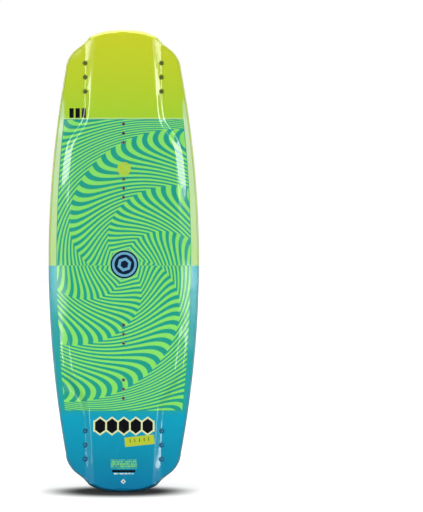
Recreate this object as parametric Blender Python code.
"""Wakeboard: a twin-tip board on its tail, as the separate pieces it is built from.

The board stands upright. +Z runs from the tail to the nose, +X across the board, the deck
faces -Y and the base with its fins faces +Y. The origin is at the bottom centre of the
whole object's box. All sizes are in metres.

Shapes are worked out in board coordinates: s along the board from its middle, t across it
and h up from the running surface of the base, towards the deck.
"""

import math

import bmesh
import bpy
import numpy as np
from mathutils import Matrix, Vector

# --- Driving dimensions -------------------------------------------------------------------

LENGTH = 1.280              # tip to tip
HALF_LENGTH = LENGTH / 2
HALF_WIDTH = 0.2096         # at mid-length
SIDE_RADIUS = 2.857         # arc of each long side
SIDE_END = 0.530            # where the side arc ends and the tip's curve starts
TIP_FLAT = 0.018            # half the short straight at the very end of each tip
ROCKER = 0.057              # rise of the tips above the middle of the base

# Tip outline: (s, half width), a smooth curve from the side arc to the tip.
TIP_POINTS = [
    (0.548, 0.1575), (0.563, 0.1510), (0.581, 0.1376), (0.600, 0.1132), (0.613, 0.0998),
    (0.6215, 0.0915), (0.631, 0.0703), (0.6366, 0.0514), (0.6395, 0.0260), (0.640, 0.0),
]

# Raised middle of the deck: (|s|, half width of the plateau), (|s|, half width at the foot).
PLATEAU_EDGE = [
    (0.0, 0.157), (0.22, 0.150), (0.30, 0.144), (0.334, 0.137), (0.382, 0.1016),
    (0.400, 0.097), (0.435, 0.094), (0.50, 0.088), (0.64, 0.077),
]
BEVEL_FOOT = [
    (0.0, 0.187), (0.22, 0.175), (0.30, 0.164), (0.334, 0.154), (0.382, 0.120),
    (0.400, 0.112), (0.435, 0.107), (0.64, 0.105),
]

PLATEAU_HEIGHT = 0.021      # full thickness at mid-length
PLATEAU_TAPER = 0.006       # thickness lost by the tips
FOOT_HEIGHT = 0.0155        # thickness at the bevel's foot, at mid-length
FOOT_TAPER = 0.0055
FOOT_TAPER_END = 0.42       # |s| from which the foot height stays the same
EDGE_HEIGHT = 0.011         # top of the rail's nose, at mid-length
EDGE_TAPER = 0.0025
EDGE_SLOPE = 0.85           # steepest slope from the rail up to the deck
CHINE_WIDTH = 0.028         # angled strip along the base's edge, at mid-length
CHINE_TAPER = 0.012
CHINE_RISE = 0.0045
CHINE_RISE_TAPER = 0.0015

GAP = 0.0003                # clearance between touching pieces
SKIN = 0.0016               # deck and base laminates
SKIN_INSET = 0.005          # the laminates end this far inside the outline
RAIL_WIDTH = 0.012
NOSE_ROUND = 0.0015         # depth of the rail's rounded nose
RAIL_BELLY_LOW = 0.25       # height shares between which the rail stands full width
RAIL_BELLY_HIGH = 0.7
FOOT_WIDEST = 0.96          # the creases stay inside these shares of a station's half width
PLATEAU_WIDEST = 0.88

PAD_CENTRE = 0.2794         # half of the 22 inch stance
PAD_HALF_LENGTH = 0.118     # flat stretch of deck that a binding stands on
PAD_START = PAD_CENTRE - PAD_HALF_LENGTH
PAD_END = PAD_CENTRE + PAD_HALF_LENGTH
INSERT_OFFSETS = (-0.1016, -0.0762, -0.0508, 0.0508, 0.0762, 0.1016)
PLATE_HALF_LENGTH = 0.112
PLATE_HALF_WIDTH = 0.028
PLATE_THICKNESS = 0.003

INSERT_BODY_RADIUS = 0.007
INSERT_NECK_RADIUS = 0.0045
INSERT_BORE_RADIUS = 0.0025  # tapping size of an M6 thread
INSERT_DEPTH = 0.013
INSERT_BORE_DEPTH = 0.0115
INSERT_SINK = 0.0004        # the insert's mouth lies this far under the deck's surface

FIN_T = 0.106               # fin and bolt line, across the board
BOLT_S = (0.473, 0.512, 0.551)
FIN_START = 0.375
FIN_END = 0.582
FIN_PEAK = 0.520            # where the fin is deepest
FIN_DEPTH = 0.026
FIN_WIDTH = 0.0115
FIN_TIP_SHARE = 0.34        # width at the tip as a share of the root's
FIN_RAMP_POWER = 2.2        # how the depth falls away from the peak, over the long ramp
FIN_FALL_POWER = 2.4        # and over the short fall
FIN_TAPER_POWER = 2.2
FIN_POINT_POWERS = (4, 0.6)  # how bluntly the root closes to a point at both ends
FIN_REACH = 0.985           # share of the full length at which the points are cut off
FIN_STATIONS = 13
FIN_SIDE_POINTS = 4

SCREW_RADIUS = 0.0025       # M5
SCREW_HEAD_RADIUS = 0.0047
SCREW_HEAD_HEIGHT = 0.0028
SCREW_DRIVE_RADIUS = 0.0018
SCREW_DRIVE_DEPTH = 0.0014
SCREW_ENGAGEMENT = 0.0065   # depth that the screw reaches into the fin
NUT_RADIUS = 0.0035
NUT_LENGTH = 0.007
FERRULE_RADIUS = 0.007
FERRULE_TAIL_RADIUS = 0.0045
FERRULE_SINK = 0.0002
COUNTERBORE_RADIUS = 0.006
COUNTERBORE_DEPTH = 0.0035

SEGMENTS = 12               # sides of every round piece and hole
SIDE_STATIONS = (           # stations along half of a side arc, one at each pad end
    0.0, 0.08, PAD_START, 0.22, PAD_CENTRE, 0.34, PAD_END, 0.465, SIDE_END,
)
REACH = 0.004               # how far a cutter stands out of what it cuts


# --- Board surfaces -----------------------------------------------------------------------

def along(points, s):
    """Value at |s| of a line through (s, value) points."""
    return float(np.interp(abs(s), [p[0] for p in points], [p[1] for p in points]))


def rocker(s):
    return ROCKER * (s / HALF_LENGTH) ** 2


def side_half_width(s):
    return HALF_WIDTH - s * s / (2 * SIDE_RADIUS)


def smooth_curve(points, steps):
    """Catmull-Rom curve through the points, with this many steps between each pair."""
    padded = [2 * points[0] - points[1]] + points + [2 * points[-1] - points[-2]]
    curve = [points[0]]
    for before, start, end, after in zip(padded, padded[1:], padded[2:], padded[3:]):
        for step in range(1, steps + 1):
            u = step / steps
            curve.append(0.5 * (
                2 * start
                + (end - before) * u
                + (2 * before - 5 * start + 4 * end - after) * u ** 2
                + (3 * start - before - 3 * end + after) * u ** 3
            ))
    return curve


def nose_outline(steps):
    """Right half of the nose outline as (s, t), from mid-length to the tip."""
    side = [Vector((s, side_half_width(s))) for s in SIDE_STATIONS]
    tip = smooth_curve([side[-1]] + [Vector(p) for p in TIP_POINTS], steps)
    return side + tip[1:]


FINE_OUTLINE = np.array([tuple(p) for p in nose_outline(steps=12)])


def edge_distance(s, t):
    """Distance from a point inside the board to the outline."""
    point = np.array((abs(s), abs(t)))
    starts = FINE_OUTLINE[:-1]
    spans = FINE_OUTLINE[1:] - starts
    share = ((point - starts) * spans).sum(axis=1) / (spans ** 2).sum(axis=1)
    nearest = starts + spans * np.clip(share, 0.0, 1.0)[:, None]
    return float(np.linalg.norm(nearest - point, axis=1).min())


def deck_depth(s):
    """How far the plateau lies from the base's middle, towards the deck side."""
    return rocker(s) + PLATEAU_HEIGHT - PLATEAU_TAPER * (s / HALF_LENGTH) ** 2


PAD_SLOPE = (deck_depth(PAD_END) - deck_depth(PAD_START)) / (PAD_END - PAD_START)


def plateau_height(s):
    """Height of the raised middle of the deck, flat where the bindings stand."""
    s = abs(s)
    if PAD_START < s < PAD_END:
        return deck_depth(PAD_START) + PAD_SLOPE * (s - PAD_START) - rocker(s)
    return deck_depth(s) - rocker(s)


def deck_height(s, t, edge):
    """Height of the deck's surface, edge being the distance to the outline."""
    plateau = plateau_height(s)
    foot = FOOT_HEIGHT - FOOT_TAPER * min(1.0, (s / FOOT_TAPER_END) ** 2)
    rail = EDGE_HEIGHT - EDGE_TAPER * (s / HALF_LENGTH) ** 2
    top = along(PLATEAU_EDGE, s)
    bottom = along(BEVEL_FOOT, s)
    if abs(t) <= top:
        height = plateau
    elif abs(t) <= bottom:
        height = plateau + (foot - plateau) * (abs(t) - top) / (bottom - top)
    else:
        outside = abs(t) - bottom
        height = foot + (rail - foot) * outside / (outside + edge)
    return min(height, rail + EDGE_SLOPE * edge)


def base_height(s, edge):
    """Height of the base's surface: flat, with an angled chine along its edge."""
    share = (s / HALF_LENGTH) ** 2
    width = CHINE_WIDTH - CHINE_TAPER * share
    rise = CHINE_RISE - CHINE_RISE_TAPER * share
    return rise * max(0.0, 1.0 - edge / width)


def surface_heights(s, t):
    """Heights of the deck's and the base's surfaces at a point of the board."""
    edge = edge_distance(s, t)
    return deck_height(s, t, edge), base_height(s, edge)


# The object's box is centred on Y = 0: the deck reaches furthest out where the plateau ends.
BASE_Y = deck_depth(HALF_LENGTH - RAIL_WIDTH - GAP) / 2


def place(s, t, h):
    """World position of a point given in board coordinates."""
    return Vector((t, BASE_Y - rocker(s) - h, HALF_LENGTH + s))


# --- Mesh helpers -------------------------------------------------------------------------

def material(name, colour, roughness, metallic=0.0):
    made = bpy.data.materials.new(name)
    made.use_nodes = True
    shader = made.node_tree.nodes["Principled BSDF"]
    shader.inputs["Base Color"].default_value = (*colour, 1.0)
    shader.inputs["Roughness"].default_value = roughness
    shader.inputs["Metallic"].default_value = metallic
    return made


def add_object(name, bm, finish=None):
    """Turn a bmesh into an object with its faces pointing out."""
    bmesh.ops.recalc_face_normals(bm, faces=bm.faces)
    mesh = bpy.data.meshes.new(name)
    bm.to_mesh(mesh)
    bm.free()
    made = bpy.data.objects.new(name, mesh)
    bpy.context.scene.collection.objects.link(made)
    if finish:
        mesh.materials.append(material(name, *finish))
    return made


def skin_loops(bm, loops, closed_ends):
    """Join equal loops of vertices into a tube, with a face over each end if asked."""
    for loop, following in zip(loops, loops[1:]):
        for i, vertex in enumerate(loop):
            j = (i + 1) % len(loop)
            bm.faces.new((vertex, loop[j], following[j], following[i]))
    if closed_ends:
        bm.faces.new(loops[0])
        bm.faces.new(loops[-1])


def add_turned(bm, profile, frame):
    """Turn a closed profile of (radius, z) about the frame's Z; radius 0 is the axis."""
    rings = []
    for radius, z in profile:
        if radius == 0.0:
            rings.append([bm.verts.new(frame @ Vector((0.0, 0.0, z)))])
            continue
        ring = []
        for i in range(SEGMENTS):
            angle = 2 * math.pi * i / SEGMENTS
            ring.append(bm.verts.new(
                frame @ Vector((radius * math.cos(angle), radius * math.sin(angle), z))))
        rings.append(ring)
    for ring, following in zip(rings, rings[1:] + rings[:1]):
        for i in range(SEGMENTS):
            j = (i + 1) % SEGMENTS
            if len(ring) > 1 and len(following) > 1:
                bm.faces.new((ring[i], ring[j], following[j], following[i]))
            elif len(ring) > 1:
                bm.faces.new((ring[i], ring[j], following[0]))
            elif len(following) > 1:
                bm.faces.new((ring[0], following[j], following[i]))


def turned(name, profile, frame, finish):
    """Object of its own with its origin on the turned piece's axis."""
    bm = bmesh.new()
    add_turned(bm, profile, Matrix.Identity(4))
    made = add_object(name, bm, finish)
    made.matrix_world = frame
    made.data.shade_smooth()
    made.data.set_sharp_from_angle(angle=math.radians(40))
    return made


def add_cylinder(bm, radius, low, high, frame):
    add_turned(bm, [(0.0, low), (radius, low), (radius, high), (0.0, high)], frame)


def add_block(bm, size_low, size_high, frame):
    """Box between two corners of the frame."""
    corners = []
    for z in (size_low[2], size_high[2]):
        corners.append([
            bm.verts.new(frame @ Vector((x, y, z)))
            for x, y in (
                (size_low[0], size_low[1]), (size_high[0], size_low[1]),
                (size_high[0], size_high[1]), (size_low[0], size_high[1]),
            )
        ])
    skin_loops(bm, corners, closed_ends=True)


def cut(target, bm, name):
    """Cut a bmesh of cutters from the target with a Boolean modifier."""
    cutter = add_object(name, bm)
    cutter.hide_render = True
    cutter.display_type = "WIRE"
    modifier = target.modifiers.new(name, "BOOLEAN")
    modifier.operation = "DIFFERENCE"
    modifier.solver = "EXACT"
    modifier.object = cutter


# --- Board pieces -------------------------------------------------------------------------

def board_stations(inset):
    """Stations from nose to tail as (s, half width), moved in from the outline."""
    nose = nose_outline(steps=1)[:-1]
    nose[-1] = Vector((HALF_LENGTH, TIP_FLAT))
    tangents = [
        (after - before).normalized()
        for before, after in zip([Vector((-nose[1].x, nose[1].y))] + nose, nose[1:] + [nose[-1]])
    ]
    tangents[-1] = Vector((0.0, -1.0))
    moved = [
        point + inset * Vector((tangent.y, -tangent.x))
        for point, tangent in zip(nose, tangents)
    ]
    return moved[::-1] + [Vector((-point.x, point.y)) for point in moved[1:]]


def cross_points(rims):
    """Points across one station: rims, bevel foot, plateau edge, middle, and mirrored."""
    s, inner = rims[-1]
    foot = min(along(BEVEL_FOOT, s), FOOT_WIDEST * inner)
    plateau = min(along(PLATEAU_EDGE, s), PLATEAU_WIDEST * inner)
    right = list(rims) + [Vector((s, foot)), Vector((s, plateau))]
    return right + [Vector((s, 0.0))] + [Vector((p.x, -p.y)) for p in reversed(right)]


def board_rows(insets):
    """Rows of (s, t) points from nose to tail, with a rim at each inset."""
    rows = [cross_points(rims) for rims in zip(*(board_stations(inset) for inset in insets))]
    if len(insets) > 1:
        end = HALF_LENGTH - insets[0]
        rows.insert(0, [Vector((end, p.y / 2)) for p in rows[0]])
        rows.append([Vector((-end, p.y / 2)) for p in rows[-1]])
    return rows


def lay_slab(name, insets, top_height, bottom_height, finish):
    """Closed body over the whole board, between two surfaces."""
    bm = bmesh.new()
    loops = []
    for row in board_rows(insets):
        upper = []
        lower = []
        for s, t in row:
            deck, base = surface_heights(s, t)
            upper.append(bm.verts.new(place(s, t, top_height(deck, base))))
            lower.append(bm.verts.new(place(s, t, bottom_height(deck, base))))
        loops.append(upper + lower[::-1])
    skin_loops(bm, loops, closed_ends=False)
    for loop in (loops[0], loops[-1]):
        for i in range(len(loop) // 2 - 1):
            bm.faces.new((loop[i], loop[i + 1], loop[-i - 2], loop[-i - 1]))
    bmesh.ops.triangulate(bm, faces=bm.faces, quad_method="SHORT_EDGE")
    return add_object(name, bm, finish)


def make_rail(name, side, finish):
    """One of the two edge strips, rebated for the laminates, from nose tip to tail tip."""
    insets = (0.0, NOSE_ROUND, SKIN_INSET, RAIL_WIDTH)
    rows = list(zip(*(board_stations(inset) for inset in insets)))
    rows.insert(0, tuple(Vector((p.x, GAP / 2)) for p in rows[0]))
    rows.append(tuple(Vector((p.x, GAP / 2)) for p in rows[-1]))
    step = SKIN + GAP
    bm = bmesh.new()
    loops = []
    for row in rows:
        surfaces = [surface_heights(*point) for point in row]
        outline, rounded, rebate, inner = range(len(row))
        high, low = surfaces[outline]
        section = [
            (rebate, surfaces[rebate][0]),
            (rounded, surfaces[rounded][0]),
            (outline, low + RAIL_BELLY_HIGH * (high - low)),
            (outline, low + RAIL_BELLY_LOW * (high - low)),
            (rounded, surfaces[rounded][1]),
            (rebate, surfaces[rebate][1]),
            (rebate, surfaces[rebate][1] + step),
            (inner, surfaces[inner][1] + step),
            (inner, surfaces[inner][0] - step),
            (rebate, surfaces[rebate][0] - step),
        ]
        loops.append([
            bm.verts.new(place(row[column].x, side * row[column].y, height))
            for column, height in section
        ])
    skin_loops(bm, loops, closed_ends=True)
    bmesh.ops.triangulate(bm, faces=bm.faces, quad_method="SHORT_EDGE")
    return add_object(name, bm, finish)


def axis_frame(origin, axis):
    """Frame with its Z along the axis and its X across the board."""
    across = Vector((1.0, 0.0, 0.0))
    return Matrix((
        (*across, 0.0), (*axis.cross(across), 0.0), (*axis, 0.0), (*origin, 1.0),
    )).transposed()


def pad_frame(end, offset=0.0):
    """Frame on a binding pad, Z out of the deck; end is 1 at the nose, -1 at the tail."""
    s = PAD_CENTRE + offset
    axis = Vector((0.0, -1.0, -end * PAD_SLOPE)).normalized()
    return axis_frame(place(end * s, 0.0, plateau_height(s)), axis)


def bolt_frame(end, side, s):
    """Frame on the base's surface at a fin bolt, Z through the board towards the deck."""
    middle = BOLT_S[1]
    slope = 2 * ROCKER * middle / HALF_LENGTH ** 2
    axis = Vector((0.0, -1.0, -end * slope)).normalized()
    return axis_frame(place(end * s, side * FIN_T, 0.0), axis)


def board_thickness_at_bolt(s):
    edge = edge_distance(s, FIN_T)
    slope = 2 * ROCKER * BOLT_S[1] / HALF_LENGTH ** 2
    outside = FIN_T + FERRULE_RADIUS
    return deck_height(s, outside, edge) * math.cos(math.atan(slope))


# --- Fasteners ----------------------------------------------------------------------------

def make_insert(name, frame):
    body, neck, bore = INSERT_BODY_RADIUS, INSERT_NECK_RADIUS, INSERT_BORE_RADIUS
    shoulder = -(SKIN + PLATE_THICKNESS + 3 * GAP)
    return turned(name, [
        (0.0, -INSERT_DEPTH), (body, -INSERT_DEPTH), (body, shoulder), (neck, shoulder),
        (neck, -INSERT_SINK), (bore, -INSERT_SINK), (bore, -INSERT_BORE_DEPTH),
        (0.0, -INSERT_BORE_DEPTH),
    ], frame, STEEL)


def make_ferrule(name, frame, thickness):
    bore = SCREW_RADIUS + GAP
    top = thickness - FERRULE_SINK
    seat = top - COUNTERBORE_DEPTH
    step = SKIN + 2 * GAP
    return turned(name, [
        (FERRULE_RADIUS, top), (COUNTERBORE_RADIUS, top), (COUNTERBORE_RADIUS, seat),
        (bore, seat), (bore, GAP), (FERRULE_TAIL_RADIUS, GAP),
        (FERRULE_TAIL_RADIUS, step), (FERRULE_RADIUS, step),
    ], frame, FERRULE_PLASTIC)


def make_screw(name, frame, thickness):
    seat = thickness - FERRULE_SINK - COUNTERBORE_DEPTH + GAP
    top = seat + SCREW_HEAD_HEIGHT
    return turned(name, [
        (0.0, top - SCREW_DRIVE_DEPTH), (SCREW_DRIVE_RADIUS, top), (SCREW_HEAD_RADIUS, top),
        (SCREW_HEAD_RADIUS, seat), (SCREW_RADIUS, seat), (SCREW_RADIUS, -SCREW_ENGAGEMENT),
        (0.0, -SCREW_ENGAGEMENT),
    ], frame, STEEL)


def make_nut(name, frame):
    bore = SCREW_RADIUS + GAP
    top = -2 * GAP
    return turned(name, [
        (NUT_RADIUS, top), (bore, top), (bore, top - NUT_LENGTH), (NUT_RADIUS, top - NUT_LENGTH),
    ], frame, BRASS)


# --- Fins ---------------------------------------------------------------------------------

def fin_depth(s):
    """Depth of the fin under the base: a long ramp up to the peak, then a short fall."""
    if s < FIN_PEAK:
        share = (FIN_PEAK - s) / (FIN_PEAK - FIN_START)
        return FIN_DEPTH * (1.0 - share ** FIN_RAMP_POWER)
    share = (s - FIN_PEAK) / (FIN_END - FIN_PEAK)
    return FIN_DEPTH * (1.0 - share ** FIN_FALL_POWER)


def fin_width(s):
    """Width of the fin's root, pointed at both ends."""
    middle = (FIN_START + FIN_END) / 2
    share = (s - middle) / (FIN_END - middle)
    inner, outer = FIN_POINT_POWERS
    return FIN_WIDTH * (1.0 - share ** inner) ** outer


def make_fin(name, end, side):
    """One fin, lying on the base with a bolt insert's hole for each screw."""
    bm = bmesh.new()
    loops = []
    middle = (FIN_START + FIN_END) / 2
    reach = (FIN_END - FIN_START) / 2 * FIN_REACH
    for i in range(FIN_STATIONS):
        s = middle - reach * math.cos(math.pi * i / (FIN_STATIONS - 1))
        depth = fin_depth(s)
        half_width = fin_width(s) / 2
        right = []
        for j in range(FIN_SIDE_POINTS):
            share = j / (FIN_SIDE_POINTS - 1)
            taper = 1.0 - (1.0 - FIN_TIP_SHARE) * share ** FIN_TAPER_POWER
            right.append((half_width * taper, depth * share))
        section = right + [(-t, h) for t, h in reversed(right)]
        loops.append([
            bm.verts.new(place(end * s, side * FIN_T + t, -GAP - h)) for t, h in section
        ])
    skin_loops(bm, loops, closed_ends=True)
    fin = add_object(name, bm, FIN_PLASTIC)
    holes = bmesh.new()
    for s in BOLT_S:
        add_cylinder(holes, NUT_RADIUS + GAP, -NUT_LENGTH - 3 * GAP, REACH, bolt_frame(end, side, s))
    cut(fin, holes, name + "_bolt_holes")
    return fin


def hang_on_joint(name, pieces, frame):
    """Empty on the joint's axis that carries a moving piece and what is fixed in it."""
    pivot = bpy.data.objects.new(name, None)
    bpy.context.scene.collection.objects.link(pivot)
    pivot.matrix_world = frame
    for piece in pieces:
        piece.parent = pivot
        piece.matrix_parent_inverse = frame.inverted()


# --- Finishes: colour, roughness, metallic ------------------------------------------------

DECK_PRINT = ((0.27, 0.62, 0.26), 0.22)
BASE_PRINT = ((0.10, 0.50, 0.42), 0.18)
EDGE_PLASTIC = ((0.18, 0.48, 0.34), 0.3)
FOAM = ((0.86, 0.83, 0.70), 0.9)
FIBREGLASS = ((0.62, 0.68, 0.52), 0.5)
FIN_PLASTIC = ((0.012, 0.012, 0.014), 0.2)
FERRULE_PLASTIC = ((0.02, 0.02, 0.022), 0.45)
STEEL = ((0.62, 0.63, 0.64), 0.3, 1.0)
BRASS = ((0.72, 0.52, 0.22), 0.35, 1.0)

ENDS = (("nose", 1), ("tail", -1))
SIDES = (("left", -1), ("right", 1))


def make_laminates_and_core():
    core_inset = RAIL_WIDTH + GAP
    skin_insets = (SKIN_INSET + GAP, core_inset)
    deck = lay_slab("deck_laminate", skin_insets,
                    lambda top, base: top, lambda top, base: top - SKIN, DECK_PRINT)
    base = lay_slab("base_laminate", skin_insets,
                    lambda top, base: base + SKIN, lambda top, base: base, BASE_PRINT)
    core = lay_slab("foam_core", (core_inset,),
                    lambda top, base: top - SKIN - GAP, lambda top, base: base + SKIN + GAP, FOAM)
    return deck, base, core


def cut_bolt_holes(deck, base, core):
    deck_holes, base_holes, core_holes = bmesh.new(), bmesh.new(), bmesh.new()
    for _, end in ENDS:
        for _, side in SIDES:
            for s in BOLT_S:
                frame = bolt_frame(end, side, s)
                thickness = board_thickness_at_bolt(s)
                through = thickness + REACH
                add_cylinder(deck_holes, FERRULE_RADIUS + GAP, thickness - REACH, through, frame)
                add_cylinder(base_holes, FERRULE_TAIL_RADIUS + GAP, -REACH, REACH, frame)
                add_cylinder(core_holes, FERRULE_RADIUS + GAP, -REACH, through, frame)
        for offset in INSERT_OFFSETS:
            frame = pad_frame(end, offset)
            add_cylinder(deck_holes, INSERT_NECK_RADIUS + GAP, -REACH, REACH, frame)
            add_cylinder(core_holes, INSERT_BODY_RADIUS + GAP, -INSERT_DEPTH - GAP, REACH, frame)
    cut(deck, deck_holes, "deck_hole_cutter")
    cut(base, base_holes, "base_hole_cutter")
    cut(core, core_holes, "core_hole_cutter")


def make_binding_mounts(core):
    """Reinforcing plate and six threaded inserts under each binding pad."""
    pockets = bmesh.new()
    top = -(SKIN + GAP)
    bottom = top - PLATE_THICKNESS
    for end_name, end in ENDS:
        frame = pad_frame(end)
        low = Vector((-PLATE_HALF_WIDTH, -PLATE_HALF_LENGTH, bottom))
        high = Vector((PLATE_HALF_WIDTH, PLATE_HALF_LENGTH, top))
        clear = Vector((GAP, GAP, GAP))
        plate_mesh = bmesh.new()
        add_block(plate_mesh, low, high, frame)
        plate = add_object(end_name + "_insert_plate", plate_mesh, FIBREGLASS)
        add_block(pockets, low - clear, high + Vector((GAP, GAP, REACH)), frame)
        holes = bmesh.new()
        for number, offset in enumerate(INSERT_OFFSETS, start=1):
            insert_frame = pad_frame(end, offset)
            add_cylinder(holes, INSERT_NECK_RADIUS + GAP, bottom - REACH, REACH, insert_frame)
            make_insert(f"{end_name}_insert_{number}", insert_frame)
        cut(plate, holes, end_name + "_plate_hole_cutter")
    cut(core, pockets, "plate_pocket_cutter")


def make_fin_sets():
    """Each fin with its brass nuts, and the ferrules and screws that hold it."""
    for end_name, end in ENDS:
        for side_name, side in SIDES:
            corner = f"{end_name}_{side_name}"
            fixed = [make_fin(corner + "_fin", end, side)]
            for number, s in enumerate(BOLT_S, start=1):
                frame = bolt_frame(end, side, s)
                thickness = board_thickness_at_bolt(s)
                make_ferrule(f"{corner}_ferrule_{number}", frame, thickness)
                make_screw(f"{corner}_screw_{number}", frame, thickness)
                fixed.append(make_nut(f"{corner}_nut_{number}", frame))
            hang_on_joint(corner + "_fin_slide", fixed, bolt_frame(end, side, BOLT_S[1]))


def main():
    for existing in list(bpy.data.objects):
        bpy.data.objects.remove(existing, do_unlink=True)
    deck, base, core = make_laminates_and_core()
    make_rail("rail_left", -1, EDGE_PLASTIC)
    make_rail("rail_right", 1, EDGE_PLASTIC)
    make_binding_mounts(core)
    cut_bolt_holes(deck, base, core)
    make_fin_sets()


main()
